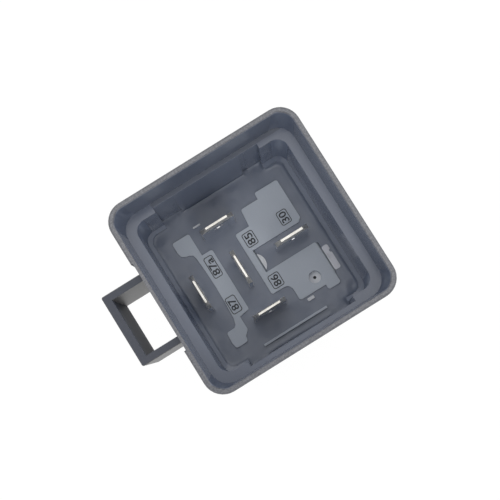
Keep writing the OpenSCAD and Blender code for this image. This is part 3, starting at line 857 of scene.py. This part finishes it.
@dataclass
class Case(DressedNode):
    """The case, with duller sleeve faces and relief grooves that are nearly filled."""

    sleeve_x_mm: float = -17.3
    sleeve_z_mm: float = 30.0
    step_x_mm: float = -17.0
    facing: float = 0.7
    groove_x_mm: Span = (6.6, 7.65)
    groove_up: Span = (-0.05, 1.01)
    groove_behind_mm: Span = (0.08, 0.6)
    panel_mm: Span = (14.88, 15.1)
    fill_mm: Span = (0.3, 0.14)

    def _reshape(self, mesh: bmesh.types.BMesh) -> None:
        """Moves the floors of the relief grooves up to just below the panels.

        Args:
            mesh: The copy of the case.
        """
        low, high = self.groove_behind_mm
        for vertex in mesh.verts:
            x, y, z = vertex.co / MM
            up = (z - LEVELS.seal_mm) / (LEVELS.foot_mm - LEVELS.seal_mm)
            along = self.groove_x_mm[0] < abs(x) < self.groove_x_mm[1]
            if not (along and self.groove_up[0] < up < self.groove_up[1]):
                continue
            panel, fill = (a + up * (b - a) for a, b in (self.panel_mm, self.fill_mm))
            if panel + low < abs(y) < panel + high:
                vertex.co.y -= math.copysign(fill * MM, y)

    def _material_slot(self, part: bmesh.types.BMFace) -> int:
        """Chooses a face's material slot.

        Args:
            part: The face.

        Returns:
            0 for a face and 1 for an edge or for the rim's step, which is painted lighter there
            against its shade. On the sleeve, 2 for a side wall, 3 for the inner face of the outer
            bar, which is painted paler as painted fill light, and 4 for the top.
        """
        centre = part.calc_center_median() / MM
        side = abs(part.normal.y) > self.facing
        if centre.x > self.sleeve_x_mm or centre.z < self.sleeve_z_mm:
            # The rim's step gets the paler edge finish as painted light against its shade.
            return 1 if side and centre.x < self.step_x_mm else part.material_index
        if side:
            return 2
        # The outer bar's inner face, which faces the case and lies in shade, is painted paler as
        # painted fill light.
        if part.normal.x > self.facing:
            return 3
        top = part.normal.z > self.facing and part.material_index == 0
        return 4 if top else part.material_index


@dataclass
class Tipped(DressedNode):
    """A metal piece whose end is duller: a blade's stamped tip or the yoke's staked tab."""

    above_mm: float = 0.0
    facing: float = -2.0

    def _material_slot(self, part: bmesh.types.BMFace) -> int:
        """Returns a face's material slot: 0, 1 on a rounded edge or 2 on the end."""
        high = part.calc_center_median().z > self.above_mm * MM
        return 2 if high and part.normal.z > self.facing else part.material_index


@dataclass
class BasePlate(DressedNode):
    """The base plate, whose vent floor and small marks are paler than its lands, with painted
    shade on its lands' rounded edges and in the vent's hole.
    """

    vent_mm: Span = (7.5, -7.45)
    vent_r_mm: float = 1.15
    vent_hole_r_mm: float = 0.3
    vent_hole_drop_mm: Span = (1.2, 2.0)
    facing: float = 0.6
    marks_mm: tuple[tuple[float, float, float, float], ...] = (
        (1.0, 1.9, -2.2, 1.5), (4.2, 5.7, -10.6, -9.9), (-6.2, -4.5, 10.8, 11.2),
    )

    def _material_slot(self, part: bmesh.types.BMFace) -> int:
        """Chooses a face's material slot.

        Args:
            part: The face.

        Returns:
            0 for a land, 1 for its edge, darkened as painted shade, 2 for a pale mark and 3 for
            the vent's hole, painted dark as painted shade.
        """
        centre = part.calc_center_median() / MM
        drop = LEVELS.seal_mm - centre.z
        away = math.dist(centre.xy, self.vent_mm)
        high, low = self.vent_hole_drop_mm
        # The vent's hole is painted dark as painted shade.
        if away < self.vent_hole_r_mm and high < drop < low:
            return 3
        if away < self.vent_r_mm and part.normal.z > self.facing and drop > 0:
            return 2
        marked = any(
            x0 < centre.x < x1 and y0 < centre.y < y1 for x0, x1, y0, y1 in self.marks_mm
        )
        return 2 if marked and drop < 0 else part.material_index


@dataclass(frozen=True)
class Lump:
    """A rise in the resin where it crept up or set thick."""

    x_mm: float
    y_mm: float
    radius_mm: float
    rise_mm: float


@dataclass
class SealingResin:
    """The poured resin: it creeps up the case's walls, banks at +X and sets in lumps."""

    step_mm: float = 0.16
    reach_mm: float = 15.0
    depth_mm: float = 3.0
    headroom_mm: float = 1.5
    sink_mm: float = 0.03
    climb_mm: float = 0.16
    climb_run_mm: float = 0.2
    wet_mm: float = 0.3
    ripple_mm: float = 0.04
    ripples_per_mm: float = 0.3
    bank_mm: float = 0.62
    bank_run_mm: float = 0.5
    bank_x_mm: Span = (9.0, 11.0)
    groove_y_mm: float = 12.0
    groove_mm: Span = (0.05, 0.3)
    groove_left_mm: float = 0.1
    lumps: tuple[Lump, ...] = (
        Lump(-8.6, 14.0, 1.3, 0.22), Lump(-7.2, 14.3, 0.8, 0.18), Lump(-5.4, 14.2, 0.7, 0.1),
        Lump(11.0, -11.8, 1.5, 0.2), Lump(12.3, -10.6, 1.1, 0.16), Lump(10.4, -12.9, 0.9, 0.14),
        Lump(-12.2, 10.9, 1.2, 0.12), Lump(-0.4, 12.6, 0.5, 0.05), Lump(3.4, 12.9, 0.7, 0.05),
    )

    def _height(self, x: float, y: float, case: BVHTree) -> float:
        """Works out the resin's surface at one place.

        Args:
            x: Place along X in millimetres.
            y: Place along Y in millimetres.
            case: Search tree of the case that it wets.

        Returns:
            The height in millimetres.
        """
        near = case.find_nearest(Vector((x, y, LEVELS.seal_mm + self.wet_mm)) * MM)[3] / MM
        start, full = self.bank_x_mm
        bank = self.bank_mm * min(1.0, max(0.0, (x - start) / (full - start)))
        height = LEVELS.seal_mm - self.sink_mm
        height += self.climb_mm * math.exp(-near / self.climb_run_mm)
        height += bank * math.exp(-near / self.bank_run_mm)
        height += self.ripple_mm * noise.noise(Vector((x, y, 0)) * self.ripples_per_mm)
        for lump in self.lumps:
            away = math.dist((x, y), (lump.x_mm, lump.y_mm)) / lump.radius_mm
            height += lump.rise_mm * math.exp(-away * away)
        return height

    def _poured(self) -> bmesh.types.BMesh:
        """Returns a block whose top is the resin's surface."""
        wetted = Mesher.merged("case")
        case = BVHTree.FromBMesh(wetted)
        wetted.free()
        steps = round(2 * self.reach_mm / self.step_mm)
        mesh = bmesh.new()
        places = [i * self.step_mm - self.reach_mm for i in range(steps + 1)]
        rows = [
            [mesh.verts.new(Vector((x, y, self._height(x, y, case))) * MM) for x in places]
            for y in places
        ]
        for low, high in zip(rows, rows[1:]):
            for i in range(steps):
                mesh.faces.new((low[i], low[i + 1], high[i + 1], high[i]))
        rim = rows[0] + [row[-1] for row in rows[1:]]
        rim += rows[-1][-2::-1] + [row[0] for row in rows[-2:0:-1]]
        bottom = (LEVELS.seal_mm - self.depth_mm) * MM
        floor = [mesh.verts.new((v.co.x, v.co.y, bottom)) for v in rim]
        for i, vertex in enumerate(rim):
            j = (i + 1) % len(rim)
            mesh.faces.new((vertex, floor[i], floor[j], rim[j]))
        mesh.faces.new(floor[::-1])
        return mesh

    def _outline(self) -> bmesh.types.BMesh:
        """Returns the resin's solid, raised past its surface and with shallower grooves."""
        mesh = Mesher.merged("sealing_resin")
        for vertex in mesh.verts:
            drop = LEVELS.seal_mm - vertex.co.z / MM
            if drop < self.groove_mm[0]:
                vertex.co.z = (LEVELS.seal_mm + self.headroom_mm) * MM
            elif drop < self.groove_mm[1] and abs(vertex.co.y) > self.groove_y_mm * MM:
                vertex.co.z = (LEVELS.seal_mm - self.groove_left_mm) * MM
        return mesh

    def build(self, resin: bpy.types.Material) -> None:
        """Makes the piece.

        Args:
            resin: Its material.
        """
        piece = Mesher.piece("poured_resin", self._outline(), (resin,))
        block = Mesher.piece("resin_block", self._poured(), (resin,))
        cut = piece.modifiers.new("poured", "BOOLEAN")
        cut.operation = "INTERSECT"
        cut.solver = "MANIFOLD"
        cut.object = block
        Mesher.applied(piece)
        bpy.data.objects.remove(block)
        piece.data.set_sharp_from_angle(angle=Mesher.SHARP)
        for part in piece.data.polygons:
            part.use_smooth = part.area < 2 * (self.step_mm * MM) ** 2
        Mesher.settle(piece, Body.HOUSING, "resin", ("sealing_resin",))


# ---- terminal numbers


@dataclass(frozen=True)
class NumberPlate:
    """One terminal's plain number in its rounded frame."""

    text: str
    terminal: str
    offset_mm: Span
    frame_mm: Span
    letters_mm: Span


@dataclass
class TerminalNumbers:
    """The numbers moulded on the lands, one beside each blade, drawn dark with painted shade."""

    plates: tuple[NumberPlate, ...] = (
        NumberPlate("30", "terminal_30", (1.09, 4.27), (2.0, 2.65), (1.35, 2.0)),
        NumberPlate("85", "terminal_85", (3.69, -4.25), (2.15, 2.7), (1.4, 2.1)),
        NumberPlate("86", "terminal_86", (3.69, 4.02), (2.15, 2.65), (1.4, 2.0)),
        NumberPlate("87", "terminal_87", (3.62, -4.05), (1.95, 3.2), (1.35, 2.1)),
        NumberPlate("87a", "terminal_87a", (-3.94, 3.4), (1.75, 4.15), (1.35, 3.2)),
    )
    line_mm: float = 0.14
    corner_mm: float = 0.42
    rise_mm: float = 0.03
    sunk_mm: float = 0.05
    bold: float = 0.016
    corner_steps: int = 6

    def _centre(self, plate: NumberPlate) -> Vector:
        """Returns the middle of a number's frame on its land."""
        blade = frame["nodes"][plate.terminal].data
        tips = [v.co for v in blade.vertices if v.co.z > (LEVELS.blade_mm - 0.1) * MM]
        middle = sum(tips, Vector()) / len(tips)
        shift = Vector((*plate.offset_mm, 0)) * MM
        return Vector((middle.x, middle.y, LEVELS.land_mm * MM)) + shift

    def _ring(self, half: Span, corner: float) -> list[Vector]:
        """Returns the points of a rounded rectangle round the origin.

        Args:
            half: Half its size along X and Y.
            corner: Its corner radius.
        """
        points = []
        for quarter, (sx, sy) in enumerate(((1, 1), (-1, 1), (-1, -1), (1, -1))):
            for i in range(self.corner_steps + 1):
                angle = math.pi / 2 * (quarter + i / self.corner_steps)
                points.append(Vector((
                    sx * (half[0] - corner) + corner * math.cos(angle),
                    sy * (half[1] - corner) + corner * math.sin(angle),
                    0,
                )))
        return points

    def _add_frame(self, mesh: bmesh.types.BMesh, plate: NumberPlate) -> None:
        """Adds the raised line round a number.

        Args:
            mesh: The mesh to add to.
            plate: The number.
        """
        centre = self._centre(plate)
        half = [size * MM / 2 for size in plate.frame_mm]
        line = self.line_mm * MM
        low_mm, high_mm = -self.sunk_mm, self.rise_mm
        rings = []
        for inset, height in ((0, low_mm), (0, high_mm), (line, high_mm), (line, low_mm)):
            shape = self._ring((half[0] - inset, half[1] - inset), self.corner_mm * MM - inset)
            lift = Vector((0, 0, height * MM))
            rings.append([mesh.verts.new(centre + point + lift) for point in shape])
        for low, high in zip(rings, rings[1:] + rings[:1]):
            for i in range(len(low)):
                j = (i + 1) % len(low)
                mesh.faces.new((low[i], low[j], high[j], high[i]))

    def _add_letters(self, mesh: bmesh.types.BMesh, plate: NumberPlate) -> None:
        """Adds a number's figures, read towards +Y.

        Args:
            mesh: The mesh to add to.
            plate: The number.
        """
        curve = bpy.data.curves.new("figures", "FONT")
        curve.body = plate.text
        curve.offset = self.bold
        curve.extrude = 1.0
        curve.resolution_u = 4
        holder = bpy.data.objects.new("figures", curve)
        bpy.context.scene.collection.objects.link(holder)
        graph = bpy.context.evaluated_depsgraph_get()
        data = bpy.data.meshes.new_from_object(holder.evaluated_get(graph))
        corners = [v.co for v in data.vertices]
        low = Vector(map(min, *corners))
        high = Vector(map(max, *corners))
        size = high - low
        tall, long = plate.letters_mm
        deep = self.rise_mm + self.sunk_mm
        scale = Matrix.Diagonal((
            long * MM / size.x, tall * MM / size.y, deep * MM / size.z, 1,
        ))
        turn = Matrix.Rotation(math.pi / 2, 4, "Z")
        centre = self._centre(plate) + Vector((0, 0, (self.rise_mm - self.sunk_mm) / 2 * MM))
        middle = Matrix.Translation(-(low + high) / 2)
        data.transform(Matrix.Translation(centre) @ turn @ scale @ middle)
        mesh.from_mesh(data)
        bpy.data.objects.remove(holder)
        bpy.data.curves.remove(curve)

    def build(self, figures_painted_shade: bpy.types.Material) -> None:
        """Makes all the numbers as one piece.

        Args:
            figures_painted_shade: Their material, painted dark as painted shade on the moulded
                figures and frames.
        """
        mesh = bmesh.new()
        for plate in self.plates:
            self._add_frame(mesh, plate)
            self._add_letters(mesh, plate)
        bmesh.ops.remove_doubles(mesh, verts=mesh.verts, dist=Mesher.DOUBLE)
        bmesh.ops.recalc_face_normals(mesh, faces=mesh.faces)
        # The figures and frames are painted dark as painted shade.
        piece = Mesher.piece("terminal_numbers", mesh, (figures_painted_shade,))
        Mesher.settle(piece, Body.HOUSING, "base_plastic")


# ---- mechanism


@dataclass
class CoilTurns:
    """The outer layer of the winding, as one wire in a helix."""

    wire_mm: float = 0.32
    sunk: float = 0.3
    sides: int = 8
    steps_per_turn: int = 32

    def build(self, wire: bpy.types.Material) -> None:
        """Makes the helix from a spiral curve.

        Args:
            wire: Its material.
        """
        low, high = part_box("coil_winding")
        thick = self.wire_mm * MM
        height = high.z - low.z - thick
        tree = NodeTree("coil_turns", {
            "Turns": float(int(height / thick)), "Height": height,
            "Radius": (high.x - low.x) / 2 - self.sunk * thick,
            "Wire": thick / 2, "Steps": self.steps_per_turn, "Sides": self.sides,
        })
        spiral = tree.node("GeometryNodeCurveSpiral", {
            "Resolution": tree.size("Steps"), "Rotations": tree.size("Turns"),
            "Start Radius": tree.size("Radius"), "End Radius": tree.size("Radius"),
            "Height": tree.size("Height"),
        })
        centre = (low + high) / 2
        place = Vector((centre.x, centre.y, low.z + thick / 2))
        tree.made("winding_turns", tree.tube(spiral.outputs[0], True), wire, place)


@dataclass
class LeadWraps:
    """The turns of lead wire round one coil terminal's post."""

    node: str
    wire_mm: float = 0.24
    deep_mm: float = 1.5
    corner_mm: float = 0.25
    turns: int = 3
    sides: int = 8

    def build(self, wire: bpy.types.Material) -> None:
        """Makes the turns as repeated rounded loops up the post.

        Args:
            wire: Their material.
        """
        low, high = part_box(self.node)
        post_low, post_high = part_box(self.node.replace("coil_lead", "terminal"))
        thick = self.wire_mm * MM
        tree = NodeTree("lead_wraps", {
            "Turns": self.turns, "Pitch": thick, "Wire": thick / 2, "Across": high.x - low.x,
            "Deep": self.deep_mm * MM, "Corner": self.corner_mm * MM, "Sides": self.sides,
        })
        loop = tree.node("GeometryNodeCurvePrimitiveQuadrilateral", {
            "Width": tree.size("Across"), "Height": tree.size("Deep"),
        })
        rounded = tree.node("GeometryNodeFilletCurve", {
            "Curve": loop.outputs[0], "Radius": tree.size("Corner"),
        })
        pitch = tree.node("ShaderNodeCombineXYZ", {"Z": tree.size("Pitch")})
        stack = tree.node("GeometryNodeMeshLine", {
            "Count": tree.size("Turns"), "Offset": pitch.outputs[0],
        })
        copies = tree.node("GeometryNodeInstanceOnPoints", {
            "Points": stack.outputs[0], "Instance": tree.tube(rounded.outputs[0], False),
        })
        centre = (post_low + post_high) / 2
        place = Vector((centre.x, centre.y, low.z + thick / 2))
        tree.made(f"wraps_{self.node}", copies.outputs[0], wire, place)


@dataclass
class LeafSpring(DressedNode):
    """The leaf, which in the relay bends between its foot on the yoke and the armature; the piece
    itself is fixed and rides on no body.
    """

    bend_from_mm: float = 1.6
    bend_over_mm: float = 2.2

    def _settle(self, piece: bpy.types.Object) -> None:
        """Fixes the finished leaf in place and hides its node."""
        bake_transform(piece)
        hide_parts(self.node)
        log.info("%s bends between %s and %s", piece.name, Body.HOUSING.value, Body.ARMATURE.value)


@dataclass
class Mechanism:
    """Everything sealed between the cover and the base plate."""

    rigid: tuple[DressedNode, ...] = (
        DressedNode("no_contact", "contact_silver"),
        DressedNode("nc_contact", "contact_silver"),
        DressedNode("moving_contact", "contact_silver", Body.ARMATURE),
        DressedNode("armature", "plated_iron", Body.ARMATURE, 0.12),
        DressedNode("armature_rivets", "rivet_metal", Body.ARMATURE),
        DressedNode("yoke_rivets", "rivet_metal"),
        DressedNode("core", "plated_iron", edge_mm=0.12),
        DressedNode("bobbin", "bobbin_plastic", edge_mm=0.12),
    )
    leads: tuple[str, ...] = ("coil_lead_85", "coil_lead_86")
    tab_mm: float = 0.2

    def build(self, finishes: Finishes) -> None:
        """Makes the magnet, the contacts and the spring.

        Args:
            finishes: The relay's materials.
        """
        for part in self.rigid:
            part.build(*finishes.get(part.slot))
        yoke = Tipped("yoke", "plated_iron", edge_mm=0.1, above_mm=LEVELS.seal_mm - self.tab_mm)
        yoke.build(*finishes.get("plated_iron", "plated_iron", "dulled_iron"))
        spring = LeafSpring("contact_spring", "spring_bronze", Body.ARMATURE, 0.03)
        spring.build(*finishes.get("spring_bronze"))
        (wire,) = finishes.get("enamelled_wire")
        CoilTurns().build(wire)
        for node in self.leads:
            LeadWraps(node).build(wire)
        for node in ("coil_winding", *self.leads):
            carried = frame["nodes"][node].data
            carried.materials.clear()
            carried.materials.append(wire)


# ---- studio


@dataclass
class Lamp:
    """A square soft lamp that points at the relay."""

    name: str
    place_mm: tuple[float, float, float]
    watts: float
    side_mm: float = 300.0

    def build(self, target: Vector) -> None:
        """Makes the lamp.

        Args:
            target: The point that it faces.
        """
        light = bpy.data.lights.new(self.name, "AREA")
        light.size = self.side_mm * MM
        light.energy = self.watts
        lamp = bpy.data.objects.new(self.name, light)
        lamp.location = Vector(self.place_mm) * MM
        lamp.rotation_mode = "QUATERNION"
        lamp.rotation_quaternion = (target - lamp.location).to_track_quat("-Z", "Y")
        bpy.context.scene.collection.objects.link(lamp)


@dataclass
class Studio:
    """The camera above the open skirt, the pale floor and soft light."""

    camera_mm: tuple[float, float, float] = (-6.145, -20.502, 265.93)
    tilt: tuple[float, float, float] = (-0.09535, 0.02713, -0.00228)
    roll_deg: float = 32.0
    lens_mm: float = 100.0
    sensor_mm: float = 36.0
    clip_m: Span = (0.01, 10.0)
    floor_mm: float = 3000.0
    floor_grey: float = 0.86
    floor_glow: float = 1.05
    floor_share: float = 0.9
    sky: float = 0.68
    lamps: tuple[Lamp, ...] = (
        Lamp("overhead_soft_lamp", (70.0, 130.0, 640.0), 0.42),
        Lamp("front_soft_lamp", (-60.0, -400.0, 600.0), 0.7),
        Lamp("left_soft_lamp", (-400.0, 60.0, 600.0), 0.25),
        Lamp("right_soft_lamp", (600.0, 60.0, 320.0), 0.5),
    )

    def _camera(self) -> None:
        """Makes the camera at its fitted place."""
        data = bpy.data.cameras.new("camera")
        data.lens = self.lens_mm
        data.sensor_width = self.sensor_mm
        data.clip_start, data.clip_end = self.clip_m
        camera = bpy.data.objects.new("camera", data)
        rx, ry, rz = self.tilt
        turned = (
            Matrix.Rotation(math.radians(self.roll_deg) + rz, 4, "Z")
            @ Matrix.Rotation(ry, 4, "Y")
            @ Matrix.Rotation(rx, 4, "X")
        )
        place = Matrix.Translation(Vector(self.camera_mm) * MM)
        camera.matrix_world = place @ turned.transposed()
        bpy.context.scene.collection.objects.link(camera)
        bpy.context.scene.camera = camera

    def _floor(self) -> None:
        """Makes the floor, which shows white to the camera and keeps a soft shadow."""
        graph = Graph("pale_floor")
        matte = graph.node("ShaderNodeBsdfDiffuse", {"Color": (*[self.floor_grey] * 3, 1.0)})
        bright = graph.node("ShaderNodeEmission", {"Color": WHITE, "Strength": self.floor_glow})
        share = graph.seen() * self.floor_share
        both = graph.node(
            "ShaderNodeMixShader", {0: share, 1: matte.outputs[0], 2: bright.outputs[0]}
        )
        graph.node("ShaderNodeOutputMaterial", {"Surface": both.outputs[0]})
        mesh = bmesh.new()
        bmesh.ops.create_grid(mesh, x_segments=8, y_segments=8, size=self.floor_mm * MM / 2)
        floor = Mesher.piece("floor", mesh, (graph.material,))

    def _sky(self) -> None:
        """Makes an even world, white where it is seen and a little dimmer as a light."""
        world = bpy.data.worlds.new("sky")
        world.use_nodes = True
        graph = Graph(world)
        level = graph.seen() * (1.0 - self.sky) + self.sky
        shader = graph.node("ShaderNodeBackground", {"Color": WHITE, "Strength": level})
        graph.node("ShaderNodeOutputWorld", {"Surface": shader.outputs[0]})
        bpy.context.scene.world = world

    def build(self) -> None:
        """Sets up the whole studio."""
        self._camera()
        self._floor()
        self._sky()
        target = Vector((0, 0, CAD_BOX[1].z / 2))
        for lamp in self.lamps:
            lamp.build(target)
        bpy.context.scene.view_settings.view_transform = "Standard"


# ---- main


def main() -> None:
    """Builds the studio and every piece of the relay."""
    logging.basicConfig(level=logging.INFO, format="%(name)s: %(message)s")
    Studio().build()
    finishes = Finishes()
    Case("case", "case_plastic", edge_mm=0.12).build(*finishes.get(
        "case_plastic", "case_edge_wear_and_painted_light", "sleeve_wall", "sleeve_bar", "sleeve_top"
    ))
    BasePlate("base_plate", "base_plastic").build(*finishes.get(
        "base_plastic", "base_edge_painted_shade", "base_pale_marks", "number_shade"
    ))
    SealingResin().build(*finishes.get("sealing_resin"))
    tip_mm = LEVELS.blade_mm - TIP_MM
    for terminal in TERMINALS:
        blade = Tipped(terminal, "tinned_metal", edge_mm=0.05, above_mm=tip_mm, facing=0.02)
        blade.build(*finishes.get("tin_plate", "tin_plate_cuts"))
    TerminalNumbers().build(*finishes.get("number_shade"))
    Mechanism().build(finishes)


if __name__ == "__main__":
    main()
